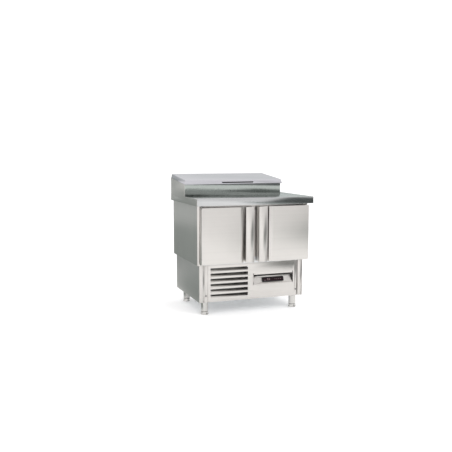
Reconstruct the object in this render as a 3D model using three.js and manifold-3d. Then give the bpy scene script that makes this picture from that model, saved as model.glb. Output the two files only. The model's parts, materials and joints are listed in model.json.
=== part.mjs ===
// Refrigerated sandwich preparation table: a stainless steel cabinet with two hinged doors, a
// worktop, a raised well of food pans under a sloping hinged lid, and a compressor bay on four
// levelling feet. Millimetres, X to the right, Y to the rear, Z up. The origin is on the floor
// under the middle of the worktop.
import * as THREE from 'three';
import { mergeVertices } from 'three/addons/utils/BufferGeometryUtils.js';
import Module from 'manifold-3d';

const wasm = await Module();
wasm.setup();

// ---- Driving dimensions ----
const worktop = { width: 900, depth: 680, top: 850, lip: 50 };
const gap = 0.3;            // space left between pieces that touch
const sheet = 2;            // folded sheet steel

const left = -worktop.width / 2;
const right = worktop.width / 2;
const front = -worktop.depth / 2;
const rear = worktop.depth / 2;
const lipBottom = worktop.top - worktop.lip;

const cabinet = {
  half: 430, front: front + 60, bottom: 373, wall: 45, header: 760, mullion: 32, frameDeep: 35,
};
const shelf = { z: 597, thick: 6, inner: 7, outer: 383, front: front + 110, rear: front + 530 };
const base = { half: 408, front: front + 86, bottom: 98, post: 38, step: 6 };
const servicePanelSize = { face: 343, screwX: 356, screwZ: 145 };
const door = { outer: 414, inner: 19, front: front + 2, thick: 50, bottom: 386, top: 787 };
const doorGrip = { strip: 63, mouth: 104, slot: 80, slope: 12, deep: 32, under: 44 };
const doorPivot = { x: 402, y: front + 40, pin: 4, hole: 5, engaged: 14, washer: 7, plate: 3, half: 10 };
const gasket = { inset: 8, band: 14 };
const rail = { right: 320, front: front + 305, rear: rear - 5, wall: 15, low: 938, high: 974 };
const lid = { front: front + 292, rear: rear - 9, thick: 30, corner: 5, splay: 8, overhang: 11 };
const lidPull = { x: -34, z: 949, halfTop: 128, halfBottom: 122, half: 4, deep: 18 };
const lidHinge = { y: rear - 4.5, z: 979, r: 4, inset: 40 };
const panFrame = { z: 905, thick: 4, opening: { half: 82, halfLength: 153 } };
const louvre = { left: -323, right: -34, first: 344.5, pitch: 38.4, count: 6, hole: 25, deep: 16 };
const flap = { left: 10, right: 331, bottom: 203.5, top: 276, cut: 14, lean: 25, slit: 5, relief: 12 };
const controller = { width: 168, height: 30, rimX: 4, rimZ: 3, proud: 5, deep: 50, corner: 6 };
const foot = {
  x: 352, front: front + 140, rear: front + 592,
  r: 30, neck: 22, tube: 27, bore: 21, stud: 12, flange: 38, low: 28,
};
const pan = {
  count: 4, length: 323, width: 174, rim: 3, bodyLength: 299, bodyWidth: 158, depth: 97, wall: 2.5,
};
const inlet = { x: 360, z: 140, r: 12 };
const fan = { blades: 5, hub: 22 };

// ---- Finishes ----
const finish = (color, roughness, metalness) => ({ color, roughness, metalness });
const satinSteel = finish(0xc9cbc8, 0.35, 1);
const linerSteel = finish(0xb4b8b8, 0.45, 1);
const plainSteel = finish(0x9a9c9b, 0.5, 1);
const zincSteel = finish(0xa9adb0, 0.55, 1);
const aluminiumFins = finish(0xb9bcbd, 0.6, 1);
const blackPlastic = finish(0x17181a, 0.5, 0);
const displayGlass = finish(0x0d0608, 0.12, 0);
const blackPaint = finish(0x1b1c1e, 0.45, 0);
const whitePlastic = finish(0xd9dbda, 0.5, 0);
const gasketRubber = finish(0x8f9392, 0.8, 0);

// ---- Shape helpers ----
const table = new THREE.Group();

function add(name, geometry, look) {
  const mesh = new THREE.Mesh(geometry, new THREE.MeshStandardMaterial(look));
  mesh.name = name;
  table.add(mesh);
}

function block(x0, x1, y0, y1, z0, z1) {
  const box = new THREE.BoxGeometry(x1 - x0, y1 - y0, z1 - z0);
  return box.translate((x0 + x1) / 2, (y0 + y1) / 2, (z0 + z1) / 2);
}

// A block on the left (side -1) or on the right (side 1), from x0 out to x1.
function sideBlock(side, x0, x1, ...rest) {
  return block(Math.min(side * x0, side * x1), Math.max(side * x0, side * x1), ...rest);
}

// An outline of [a, b] points, carried along one axis of the table. The axes' order keeps the
// solid right side out: along 'x' the outline is (y, z), along 'y' (x, z), along 'z' (x, y).
function prism(axis, outline, from, to) {
  return extruded(axis, new THREE.Shape(outline.map(([a, b]) => new THREE.Vector2(a, b))), from, to);
}

function extruded(axis, shape, from, to) {
  const solid = new THREE.ExtrudeGeometry(shape, { depth: to - from, bevelEnabled: false, curveSegments: 4 });
  const turn = new THREE.Matrix4();
  if (axis === 'x') turn.set(0, 0, 1, from, 1, 0, 0, 0, 0, 1, 0, 0, 0, 0, 0, 1);
  if (axis === 'y') turn.set(1, 0, 0, 0, 0, 0, -1, to, 0, 1, 0, 0, 0, 0, 0, 1);
  if (axis === 'z') turn.makeTranslation(0, 0, from);
  return solid.applyMatrix4(turn);
}

function roundedRectangle(width, height, corner) {
  const shape = new THREE.Shape();
  const x = width / 2;
  const y = height / 2;
  shape.moveTo(-x + corner, -y);
  shape.lineTo(x - corner, -y);
  shape.absarc(x - corner, -y + corner, corner, -Math.PI / 2, 0);
  shape.lineTo(x, y - corner);
  shape.absarc(x - corner, y - corner, corner, 0, Math.PI / 2);
  shape.lineTo(-x + corner, y);
  shape.absarc(-x + corner, y - corner, corner, Math.PI / 2, Math.PI);
  shape.lineTo(-x, -y + corner);
  shape.absarc(-x + corner, -y + corner, corner, Math.PI, Math.PI * 1.5);
  return shape;
}

// A round piece about a vertical axis, from [radius, height] points that start and end on it.
function turned(profile, segments = 24) {
  const points = profile.map(([r, z]) => new THREE.Vector2(r, z));
  return new THREE.LatheGeometry(points, segments).rotateX(Math.PI / 2);
}

function rod(x, y, z0, z1, r, segments = 24) {
  return turned([[0, z0], [r, z0], [r, z1], [0, z1]], segments).translate(x, y, 0);
}

// The same rod lying along Y, from y0 to y1.
function rodAlongY(x, z, y0, y1, r, segments = 24) {
  return rod(0, 0, -y1, -y0, r, segments).rotateX(Math.PI / 2).translate(x, 0, z);
}

function solid(geometry) {
  const bare = geometry.clone();
  bare.deleteAttribute('normal');
  bare.deleteAttribute('uv');
  const merged = mergeVertices(bare, 1e-4);
  const vertProperties = new Float32Array(merged.attributes.position.array);
  const triVerts = new Uint32Array(merged.index.array);
  return new wasm.Manifold(new wasm.Mesh({ numProp: 3, vertProperties, triVerts }));
}

function geometryOf(manifold) {
  const mesh = manifold.getMesh();
  const geometry = new THREE.BufferGeometry();
  geometry.setAttribute('position', new THREE.BufferAttribute(mesh.vertProperties, 3));
  geometry.setIndex(new THREE.BufferAttribute(mesh.triVerts, 1));
  return geometry;
}

function cut(body, ...tools) {
  return geometryOf(tools.reduce((rest, tool) => rest.subtract(solid(tool)), solid(body)));
}

function join(body, ...pieces) {
  return geometryOf(pieces.reduce((sum, piece) => sum.add(solid(piece)), solid(body)));
}

// ---- Compressor bay ----
function baseBay() {
  const { half, bottom, post } = base;
  const top = cabinet.bottom - gap;
  // Each side is one sheet, folded round the front corner to make the corner post.
  for (const [name, side] of [['base_side_left', -1], ['base_side_right', 1]]) {
    const fold = [[half, base.front], [half, rear], [half - sheet, rear], [half - sheet, base.front + sheet],
      [half - post, base.front + sheet], [half - post, base.front]];
    add(name, prism('z', fold.map(([x, y]) => [side * x, y]), bottom, top), satinSteel);
  }
  const inner = half - sheet - gap;
  add('base_floor', block(-inner, inner, base.front + 12, rear - sheet - gap, bottom, bottom + 3), zincSteel);
  // Four columns of six slots let the warm air out.
  const slot = { half: 70, tall: 10, pitch: 30, low: 165 };
  const vents = [];
  for (const x of [-270, -90, 90, 270]) {
    for (let row = 0; row < 6; row += 1) {
      const z = slot.low + row * slot.pitch;
      vents.push(block(x - slot.half, x + slot.half, rear - 10, rear + 10, z, z + slot.tall));
    }
  }
  vents.push(rodAlongY(inlet.x, inlet.z, rear - 10, rear + 10, inlet.r + 1, 16));
  add('base_back', cut(block(-inner, inner, rear - sheet, rear, bottom, top), ...vents), zincSteel);
}

// The front cover of the bay: a raised face between two screwed margins, with a louvre grille
// pressed inwards on the left and, on the right, a flap leaning back that holds the controller.
function servicePanel() {
  const edge = base.half - base.post - gap;
  const { face, screwX, screwZ } = servicePanelSize;
  const margin = base.front + base.step;
  const hat = [[-edge, margin], [-face, margin], [-face, base.front], [face, base.front], [face, margin],
    [edge, margin], [edge, margin + sheet], [face - sheet, margin + sheet],
    [face - sheet, base.front + sheet],
    [-face + sheet, base.front + sheet], [-face + sheet, margin + sheet], [-edge, margin + sheet]];
  let panel = solid(prism('z', hat, base.bottom + 1, cabinet.bottom - 2));
  for (let i = 0; i < louvre.count; i += 1) {
    const top = louvre.first - i * louvre.pitch;
    const low = top - louvre.hole;
    const inner = base.front + louvre.deep;
    const hole = block(louvre.left, louvre.right, base.front - 1, base.front + sheet + 1, low, top);
    // The blade rises inwards from the hole's lower edge to two thirds of its height.
    const blade = [[base.front, low], [base.front + sheet, low - 0.2], [inner, low + 15],
      [inner, low + 17], [base.front, low + 1.5]];
    const wing = prism('x', blade, louvre.left + 0.1, louvre.right - 0.1);
    panel = panel.subtract(solid(hole)).add(solid(wing));
  }
  const { left: x0, right: x1, bottom: z0, top: z1, lean, slit, relief } = flap;
  panel = panel.subtract(solid(block(x0, x1, base.front - 1, base.front + sheet + 1, z0, z1)));
  // Both side cuts run on a little above the opening.
  for (const x of [x0, x1 - slit]) {
    const above = block(x, x + slit, base.front - 1, base.front + sheet + 1, z1 - 1, z1 + relief);
    panel = panel.subtract(solid(above));
  }
  const leaf = [[base.front, z0 - 0.1], [base.front + sheet, z0 - 0.1],
    [base.front + lean + sheet, z1 - flap.cut], [base.front + lean, z1 - flap.cut]];
  panel = panel.add(solid(prism('x', leaf, x0 + slit, x1 - slit)));
  const window = roundedRectangle(controller.width + 1, controller.height + 1, controller.corner);
  panel = panel.subtract(solid(onFlap(window, -20, 20)));
  for (const [name, side] of [['panel_screw_left', -1], ['panel_screw_right', 1]]) {
    panel = panel.subtract(solid(rodAlongY(side * screwX, screwZ, margin - 5, margin + 8, 3, 12)));
    add(name, panelScrew(side * screwX, screwZ, margin), zincSteel);
  }
  add('service_panel', geometryOf(panel), satinSteel);
}

// Places a shape on the leaning flap, from `behind` the flap's face to `proud` in front of it.
function onFlap(shape, behind, proud) {
  const height = flap.top - flap.cut - flap.bottom;
  const tilt = Math.atan2(flap.lean, height);
  const options = { depth: proud - behind, bevelEnabled: false, curveSegments: 4 };
  const body = new THREE.ExtrudeGeometry(shape, options);
  body.translate(0, 0, behind).rotateX(Math.PI / 2 - tilt);
  const middle = (flap.left + flap.right) / 2;
  return body.translate(middle, base.front + flap.lean / 2, flap.bottom + height / 2);
}

function panelScrew(x, z, y) {
  const profile = [[0, -14], [2.6, -14], [2.6, 0.4], [5.5, 0.4], [5, 2.4], [3, 3.4], [0, 3.6]];
  return turned(profile, 12).rotateX(Math.PI / 2).translate(x, y, z);
}

function controllerUnit() {
  const { width, height, rimX, rimZ, deep, corner, proud } = controller;
  const windowThick = 2;
  const rim = roundedRectangle(width + 2 * rimX, height + 2 * rimZ, corner + 3);
  const bezel = onFlap(rim, gap, proud - windowThick);
  const box = onFlap(roundedRectangle(width, height, corner), -deep, 1);
  add('controller_body', join(box, bezel), blackPlastic);
  const glass = roundedRectangle(width - 2, height - 2, corner);
  add('controller_window', onFlap(glass, proud - windowThick + gap, proud), displayGlass);
}

// ---- Insulated cabinet ----
function cabinetBody() {
  const { half, wall, bottom } = cabinet;
  const top = lipBottom - gap;
  const inner = half - wall;
  // Each side carries a ledge on its inner face for the shelf.
  for (const [name, side] of [['cabinet_side_left', -1], ['cabinet_side_right', 1]]) {
    const panel = sideBlock(side, inner, half, cabinet.front, rear, bottom, top);
    const ledge = sideBlock(side, inner - 12, inner + 1, shelf.front, shelf.rear, shelf.z - 12, shelf.z);
    add(name, join(panel, ledge), satinSteel);
  }
  const x = inner - gap;
  const { header, mullion, frameDeep } = cabinet;
  const frameRear = cabinet.front + frameDeep;
  const floorTop = bottom + wall;
  add('cabinet_back', block(-x, x, rear - wall, rear, bottom, top), linerSteel);
  add('cabinet_floor', block(-x, x, cabinet.front, rear - wall - gap, bottom, floorTop), linerSteel);
  add('cabinet_header', block(-x, x, cabinet.front, frameRear, header, top), satinSteel);
  const post = block(-mullion, mullion, cabinet.front, frameRear, floorTop + gap, header - gap);
  add('door_mullion', post, satinSteel);
}

function shelves() {
  const { z, front: y0, rear: y1 } = shelf;
  for (const [name, side] of [['shelf_left', -1], ['shelf_right', 1]]) {
    const plate = sideBlock(side, shelf.inner, shelf.outer, y0, y1, z + gap, z + gap + shelf.thick);
    add(name, plate, plainSteel);
  }
  // The rack between the bays: two uprights with a ledge that both shelves rest on.
  const upright = (y) => block(-4, 4, y, y + 20, cabinet.bottom + cabinet.wall + gap, 745);
  const ledge = block(-20, 20, y0, y1, z - 12, z);
  add('shelf_rack', join(ledge, upright(y0 + 10), upright(y1 - 30)), plainSteel);
}

// ---- Cooling unit inside the cabinet ----
const evaporator = { y: rear - cabinet.wall - gap, z: 500, half: 200, height: 130, deep: 62 };

function fanWheel(r, depth, pitch) {
  let wheel = solid(rodAlongY(0, 0, -depth / 2, depth / 2, fan.hub, 20));
  for (let i = 0; i < fan.blades; i += 1) {
    const blade = block(-r * 0.24, r * 0.24, -1, 1, fan.hub - 6, r);
    blade.rotateZ(pitch).rotateY((i * 2 * Math.PI) / fan.blades);
    wheel = wheel.add(solid(blade));
  }
  return geometryOf(wheel);
}

function evaporatorUnit() {
  const { y, z, half, height, deep } = evaporator;
  const y0 = y - deep;
  const shell = block(-half, half, y0, y, z - height / 2, z + height / 2);
  const low = z - height / 2 + sheet;
  const high = z + height / 2 - sheet;
  const inside = block(-half + sheet, half - sheet, y0 + sheet, y + 5, low, high);
  const mouth = rodAlongY(0, z, y0 - 5, y0 + 10, 56);
  const slots = [-150, 150].map((x) => block(x - 30, x + 30, y0 - 5, y0 + 10, z - 45, z - 35));
  add('evaporator_cover', cut(shell, inside, mouth, ...slots), linerSteel);
  add('evaporator_coil', finned(-half + 20, half - 20, y - 26, y - 4, z - 55, z + 55, 18), aluminiumFins);
  add('evaporator_fan', fanWheel(52, 12, 0.5).translate(0, y0 + 10, z), blackPlastic);
  add('evaporator_motor', rodAlongY(0, z, y0 + 18, y - 27, 20, 20), blackPaint);
}

// A block of upright fins on a thin core, the outline of a comb with teeth on both faces.
function finned(x0, x1, y0, y1, z0, z1, count) {
  const pitch = (x1 - x0) / count;
  const tooth = pitch * 0.35;
  const core = (y1 - y0) * 0.3;
  const near = [];
  const far = [];
  for (let i = 0; i < count; i += 1) {
    const x = x0 + i * pitch;
    near.push([x, y0], [x + tooth, y0], [x + tooth, y0 + core], [x + pitch, y0 + core]);
    far.unshift([x + pitch, y1 - core], [x + tooth, y1 - core], [x + tooth, y1], [x, y1]);
  }
  return prism('z', [...near, ...far], z0, z1);
}

// ---- Condensing unit in the bay ----
function condensingUnit() {
  const floor = base.bottom + 3 + gap;
  const coil = { x0: -330, x1: -50, y0: base.front + 40, y1: base.front + 84, z1: 350 };
  add('condenser_coil', finned(coil.x0, coil.x1, coil.y0, coil.y1, floor, coil.z1, 20), aluminiumFins);
  const middle = (coil.x0 + coil.x1) / 2;
  const height = floor + 124;
  const shroudY = coil.y1 + gap;
  const shroud = block(coil.x0, coil.x1, shroudY, shroudY + 30, floor, coil.z1);
  const mouth = rodAlongY(middle, height, shroudY - 5, shroudY + 40, 106, 32);
  add('condenser_shroud', cut(shroud, mouth), zincSteel);
  add('condenser_fan', fanWheel(100, 18, 0.5).translate(middle, shroudY + 16, height), blackPlastic);
  const motor = rodAlongY(middle, height, shroudY + 32, shroudY + 95, 32, 20);
  const stand = block(middle - 25, middle + 25, shroudY + 45, shroudY + 85, floor, height - 20);
  add('condenser_motor', join(motor, stand), blackPaint);
  // Hermetic compressor: a domed pot on a mounting plate.
  const pot = turned([[0, 10], [62, 10], [76, 24], [78, 40], [78, 110], [70, 145], [45, 166], [0, 174]], 28);
  const plate = block(-95, 95, -75, 75, 4, 12);
  add('compressor', join(pot, plate).translate(60, front + 400, floor), blackPaint);
  const tray = block(200, 380, front + 470, front + 640, floor, floor + 60);
  const basin = block(204, 376, front + 474, front + 636, floor + 4, floor + 70);
  add('condensate_tray', cut(tray, basin), whitePlastic);
  add('electrics_box', block(230, 380, front + 200, front + 300, floor, floor + 110), whitePlastic);
  add('power_inlet', powerInlet(), blackPlastic);
}

// The cable gland that passes through the rear sheet of the bay, with the cord's bore left empty.
function powerInlet() {
  const { x, z, r } = inlet;
  const nut = rodAlongY(x, z, rear - 34, rear - sheet - gap, r + 4, 6);
  const neck = rodAlongY(x, z, rear - 30, rear, r, 16);
  return cut(join(nut, neck), rodAlongY(x, z, rear - 28, rear + 5, 4.5, 12));
}

// ---- Worktop and raised well ----
const cheekInner = left + sheet + gap;
const well = { x0: left + rail.wall + gap, x1: rail.right - rail.wall - gap };
well.middle = (well.x0 + well.x1) / 2;
well.y0 = rail.front + rail.wall + gap;
well.y1 = rail.rear - rail.wall - gap;
well.middleY = (well.y0 + well.y1) / 2;
well.pitch = (well.x1 - well.x0) / pan.count;

function railTop(y) {
  return rail.low + ((rail.high - rail.low) / (rail.rear - rail.front)) * (y - rail.front);
}

function worktopAndRail() {
  const { wall } = rail;
  // The left end is one sheet that closes both the worktop and the raised well.
  const cheek = [[front, lipBottom], [rear, lipBottom], [rear, worktop.top], [rail.rear, worktop.top],
    [rail.rear, rail.high], [rail.front, rail.low], [rail.front, worktop.top], [front, worktop.top]];
  add('end_cheek_left', prism('x', cheek, left, left + sheet), satinSteel);
  const slab = block(cheekInner, right, front, rear, lipBottom, worktop.top);
  const hole = block(well.x0 + 8, well.x1 - 8, well.y0 + 10, well.y1 - 10, lipBottom - 5, worktop.top + 5);
  add('worktop', cut(slab, hole), satinSteel);
  // A wall of the well stands on the worktop and its top follows the lid's slope.
  const z = worktop.top + gap;
  const wallPiece = (x0, x1, y0, y1) => {
    const section = [[y0, z], [y1, z], [y1, railTop(y1)], [y0, railTop(y0)]];
    return prism('x', section, x0, x1);
  };
  const frontRear = rail.front + wall;
  const backFront = rail.rear - wall;
  // The front wall returns along the left end, inside the cheek.
  const frontWall = wallPiece(cheekInner, rail.right, rail.front, frontRear);
  const leftWall = wallPiece(cheekInner, left + wall, frontRear - 1, backFront - gap);
  add('rail_front', join(frontWall, leftWall), satinSteel);
  add('rail_back', wallPiece(cheekInner, rail.right, backFront, rail.rear), satinSteel);
  add('rail_right', wallPiece(rail.right - wall, rail.right, frontRear + gap, backFront - gap), satinSteel);
}

function pansAndFrame() {
  const { z, thick, opening } = panFrame;
  const openings = [];
  const y0 = well.middleY - opening.halfLength;
  const y1 = well.middleY + opening.halfLength;
  for (let i = 0; i < pan.count; i += 1) {
    const x = well.middle + (i - (pan.count - 1) / 2) * well.pitch;
    openings.push(block(x - opening.half, x + opening.half, y0, y1, z - 5, z + thick + 5));
    add(`pan_${i + 1}`, foodPan().translate(x, well.middleY, z + thick + gap), linerSteel);
  }
  const plate = block(well.x0, well.x1, well.y0, well.y1, z, z + thick);
  add('pan_frame', cut(plate, ...openings), linerSteel);
}

// A food pan: a flat rim on a box with round upright corners, open at the top.
function foodPan() {
  const rim = extruded('z', roundedRectangle(pan.width, pan.length, 8), 0, pan.rim);
  const body = extruded('z', roundedRectangle(pan.bodyWidth, pan.bodyLength, 18), -pan.depth, 1);
  const hollow = roundedRectangle(pan.bodyWidth - 2 * pan.wall, pan.bodyLength - 2 * pan.wall, 16);
  return cut(join(rim, body), extruded('z', hollow, -pan.depth + pan.wall, 10));
}

function hingedLid() {
  const under = (y) => railTop(y) + gap;
  const { thick, corner, splay, overhang } = lid;
  const x0 = left;
  const x1 = rail.right + overhang;
  const high = under(lid.rear) + thick;
  // The front lip leans back as far as the ends lean in, and its upper fold is rounded.
  const fold = lid.front + splay;
  const side = [[lid.front, under(lid.front)], [lid.rear, under(lid.rear)], [lid.rear, high],
    [fold + corner, under(fold + corner) + thick],
    [fold, under(fold) + thick - corner * 0.4],
    [fold - corner * splay / thick, under(fold) + thick - corner]];
  // Both ends lean in: a wedge comes off each, as wide as the splay at the top. Its shear makes it
  // follow the lid's slope.
  const slope = (under(lid.rear) - under(lid.front)) / (lid.rear - lid.front);
  const shear = new THREE.Matrix4();
  shear.set(1, 0, 0, 0, 0, 1, 0, 0, 0, slope, 1, under(lid.front) - slope * lid.front, 0, 0, 0, 1);
  const wedges = [[x0, 1], [x1, -1]].map(([x, inward]) => {
    const tip = x + inward * splay * 1.5;
    const outside = x - inward * splay;
    const outline = [[outside, -5], [x, -5], [x, 0], [tip, thick * 1.5], [outside, thick * 1.5]];
    const wedge = prism('y', inward > 0 ? outline : outline.reverse(), lid.front - 5, lid.rear + 5);
    return wedge.applyMatrix4(shear);
  });
  const { x, z, halfTop, halfBottom, half, deep } = lidPull;
  const slit = [[x - halfTop, z + half], [x - halfBottom, z - half],
    [x + halfBottom, z - half], [x + halfTop, z + half]];
  const pocket = prism('y', slit, lid.front - 5, lid.front + deep);
  add('lid', cut(prism('x', side, x0, x1), ...wedges, pocket), satinSteel);
  const { r, inset } = lidHinge;
  const [r0, r1] = [left + inset, rail.right - inset];
  const barrel = turned([[0, r0], [r, r0], [r, r1], [0, r1]], 12);
  add('lid_hinge_rod', barrel.rotateY(Math.PI / 2).translate(0, lidHinge.y, lidHinge.z), plainSteel);
}

// ---- Doors ----
function doorSet(name, side) {
  const { inner, outer, thick, bottom, top } = door;
  const { strip, mouth, slot, slope, deep, under } = doorGrip;
  // s runs from the door's free edge to its hinge edge, t from its front face inwards.
  const at = ([s, t]) => new THREE.Vector2(side * (inner + s), door.front + t);
  const width = outer - inner;
  const outline = [[0, 3 + gap], [under, 3 + gap], [under, deep], [slot, deep], [slot, slope], [mouth, 0],
    [width, 0], [width, thick], [0, thick]];
  const leaf = extruded('z', new THREE.Shape(outline.map(at)), bottom, top);
  const bore = rod(side * doorPivot.x, doorPivot.y, bottom - 5, top + 5, doorPivot.hole, 16);
  add(`door_${name}_shell`, cut(leaf, bore), satinSteel);
  const lipShape = [[0, 0], [strip, 0], [strip, 9], [strip - 3, 9], [strip - 3, 3], [0, 3]].map(at);
  add(`door_${name}_handle`, extruded('z', new THREE.Shape(lipShape), bottom, top), satinSteel);
  const { inset, band } = gasket;
  const y0 = door.front + thick + gap;
  const [near, far] = [inner + inset, doorPivot.x];
  const ring = sideBlock(side, near, far, y0, cabinet.front - gap, bottom + inset, top - inset);
  const hole = sideBlock(side, near + band, far - band, y0 - 5, cabinet.front + 5, bottom + inset + band,
    top - inset - band);
  add(`door_${name}_gasket`, cut(ring, hole), gasketRubber);
  hingeBracket(`hinge_${name}_top`, side, top, 1);
  hingeBracket(`hinge_${name}_bottom`, side, bottom, -1);
}

// A plate fixed to the front of the cabinet wall, with a pin that enters the door's end.
function hingeBracket(name, side, doorEnd, up) {
  const { y, pin, engaged, washer, plate, half } = doorPivot;
  const x = side * doorPivot.x;
  // Heights are measured away from the door's end, so they are put in order for each bracket.
  const between = (a, b) => [doorEnd + up * a, doorEnd + up * b].sort((p, q) => p - q);
  const outer = 2 * plate;
  const arm = block(x - half, x + half, y - 8, cabinet.front - gap, ...between(plate, outer));
  const pinRod = rod(x, y, ...between(-engaged, outer), pin, 16);
  const collar = rod(x, y, ...between(gap, outer), washer, 16);
  add(name, join(arm, pinRod, collar), plainSteel);
}

// ---- Legs ----
function legs() {
  const { bore, tube, neck, stud, flange, r, low } = foot;
  const top = base.bottom - gap;
  const profileTube = [[bore, low], [tube, low], [tube, top - 6], [flange, top - 6], [flange, top],
    [bore, top], [bore, low]];
  const shoulder = low - gap;
  const profileFoot = [[0, 0], [r, 0], [r, 5], [tube, 22], [neck, 24], [neck, shoulder],
    [stud, shoulder], [stud, top - 12], [0, top - 12]];
  for (const [name, x, y] of [['front_left', -foot.x, foot.front], ['front_right', foot.x, foot.front],
    ['rear_left', -foot.x, foot.rear], ['rear_right', foot.x, foot.rear]]) {
    add(`leg_${name}`, turned(profileTube).translate(x, y, 0), plainSteel);
    add(`foot_${name}`, turned(profileFoot).translate(x, y, 0), plainSteel);
  }
}

baseBay();
servicePanel();
controllerUnit();
cabinetBody();
shelves();
evaporatorUnit();
condensingUnit();
worktopAndRail();
pansAndFrame();
hingedLid();
doorSet('left', -1);
doorSet('right', 1);
legs();

export default table;
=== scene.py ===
# %% [markdown]
# # A refrigerated sandwich prep table in satin steel
#
# The counter is almost all folded sheet: doors, worktop, raised well and lid. What makes it look
# real is small: the soft light along each fold, the grain that grinding left, the shadow lines
# between pieces, and the few dark things, the controller and the louvres. The engineering model
# gives every piece its place; this lesson gives the pieces their folds, details and finishes.

# %% The frame
import json
import math

import bmesh
import bpy
import numpy as np
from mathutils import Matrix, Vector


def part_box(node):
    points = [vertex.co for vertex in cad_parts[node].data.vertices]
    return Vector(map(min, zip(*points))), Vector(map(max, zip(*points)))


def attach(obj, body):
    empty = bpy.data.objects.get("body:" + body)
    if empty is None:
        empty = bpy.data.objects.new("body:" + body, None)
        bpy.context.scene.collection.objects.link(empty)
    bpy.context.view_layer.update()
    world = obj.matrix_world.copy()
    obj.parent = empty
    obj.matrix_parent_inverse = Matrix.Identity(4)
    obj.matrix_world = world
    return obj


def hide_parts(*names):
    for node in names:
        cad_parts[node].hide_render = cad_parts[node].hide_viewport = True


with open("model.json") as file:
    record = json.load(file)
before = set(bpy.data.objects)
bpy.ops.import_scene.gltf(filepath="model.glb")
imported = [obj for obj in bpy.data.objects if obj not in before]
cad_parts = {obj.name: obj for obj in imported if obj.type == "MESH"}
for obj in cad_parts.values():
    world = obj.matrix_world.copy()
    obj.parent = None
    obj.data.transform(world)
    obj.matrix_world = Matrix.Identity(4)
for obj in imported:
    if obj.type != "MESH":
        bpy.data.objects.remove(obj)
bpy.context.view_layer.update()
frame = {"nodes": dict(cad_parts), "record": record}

NODES = frame["nodes"]
SLOT_OF = {part["node"]: part["material_slot"] for part in frame["record"]["subparts"]}
MM = 0.001


def corners(node):
    """The node's lowest and highest corners, as arrays in metres."""
    return tuple(np.array(corner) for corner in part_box(node))


print("nodes in the frame:", len(NODES))

# %% [markdown]
# ## Camera, floor and light
#
# The counter is seen from the front and a little from its left, from just above the lid. The lens
# is slightly longer than normal, so upright edges stay nearly parallel, and nothing is shifted.

# %% Camera
SENSOR_MM = 36
LENS_MM = 50.742
YAW = 0.3497
PITCH = 0.1142
scene = bpy.context.scene
camera = bpy.data.objects.new("camera", bpy.data.cameras.new("camera"))
camera.data.sensor_width = SENSOR_MM
camera.data.lens = LENS_MM
camera.location = (-1.7615, -4.5220, 1.1679)
camera.rotation_euler = (math.pi / 2 - PITCH, 0, -YAW)
scene.collection.objects.link(camera)
scene.camera = camera
print("lens", round(camera.data.lens, 1), "mm")

# %% [markdown]
# ## Shader arithmetic
#
# A finish is a sum of patterns. Written as Python expressions it reads like a recipe, so one small
# class stands for a socket, and each operator adds the Math node that it needs.

# %% A socket with operators


class Value:
    """A number that varies over a surface: an output socket of a material's node tree."""

    def __init__(self, recipe, socket):
        self.recipe = recipe
        self.socket = socket

    def math(self, operation, *values):
        return self.recipe.node("ShaderNodeMath", {"operation": operation}, *values)

    def __add__(self, other):
        return self.math("ADD", self, other)

    def __radd__(self, other):
        return self.math("ADD", other, self)

    def __sub__(self, other):
        return self.math("SUBTRACT", self, other)

    def __rsub__(self, other):
        return self.math("SUBTRACT", other, self)

    def __mul__(self, other):
        return self.math("MULTIPLY", self, other)

    def __rmul__(self, other):
        return self.math("MULTIPLY", other, self)

    def band(self, low, high, to_low=0.0, to_high=1.0):
        """The value from low to high, stretched to run from to_low to to_high and held there."""
        return self.recipe.node("ShaderNodeMapRange", {}, self, low, high, to_low, to_high)


class Recipe:
    """One material: a Principled shader and the nodes that feed it."""

    def __init__(self, name, **constants):
        self.material = bpy.data.materials.new(name)
        self.material.use_nodes = True
        self.tree = self.material.node_tree
        self.shader = self.tree.nodes["Principled BSDF"]
        for socket, value in constants.items():
            self.shader.inputs[socket.replace("_", " ")].default_value = value

    def feed(self, socket, value):
        if isinstance(value, Value):
            self.tree.links.new(value.socket, socket)
        elif value is not None:
            socket.default_value = value

    def node(self, kind, settings, *inputs, output=0, **named):
        """Adds a node: settings first, then its inputs by order or by name, as links or values."""
        made = self.tree.nodes.new(kind)
        for setting, value in settings.items():
            setattr(made, setting, value)
        for key, value in [*enumerate(inputs), *named.items()]:
            self.feed(made.inputs[key if isinstance(key, int) else key.replace("_", " ")], value)
        return Value(self, made.outputs[output])

    def place(self, scale=(1, 1, 1)):
        """The object's own coordinates in metres, scaled along each axis."""
        where = self.node("ShaderNodeTexCoord", {}, output="Object")
        return self.node("ShaderNodeMapping", {}, where, None, None, scale)

    def noise(self, scale, at, detail=2.0, rough=0.5):
        return self.node("ShaderNodeTexNoise", {}, at, None, scale, detail, rough)

    def mix(self, factor, low, high):
        """A colour between two colours."""
        mixed = self.node("ShaderNodeMix", {"data_type": "RGBA"}, factor, output=2)
        for place, colour in ((6, low), (7, high)):
            self.feed(mixed.socket.node.inputs[place], colour)
        return mixed

    def bump(self, height, strength):
        return self.node("ShaderNodeBump", {}, strength, 1.0, Height=height)

    def finish(self, **sockets):
        for socket, value in sockets.items():
            self.feed(self.shader.inputs[socket.replace("_", " ")], value)
        return self.material


def shades(colour, darker, lighter):
    """A colour made darker and lighter by two factors, as the two ends of a mix."""
    return [(*(min(c * factor, 1.0) for c in colour), 1) for factor in (darker, lighter)]


# %% [markdown]
# ## The room
#
# Steel shows its surroundings more than its own colour. The floor and the room are white. Grey
# cards that only reflections see give the darker tones on the left end, along the well and on the
# right door, as a studio's flags do. Their edges fade, so that no card shows as a shape.

# %% Floor and cards
scene.view_settings.view_transform = "Standard"


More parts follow.
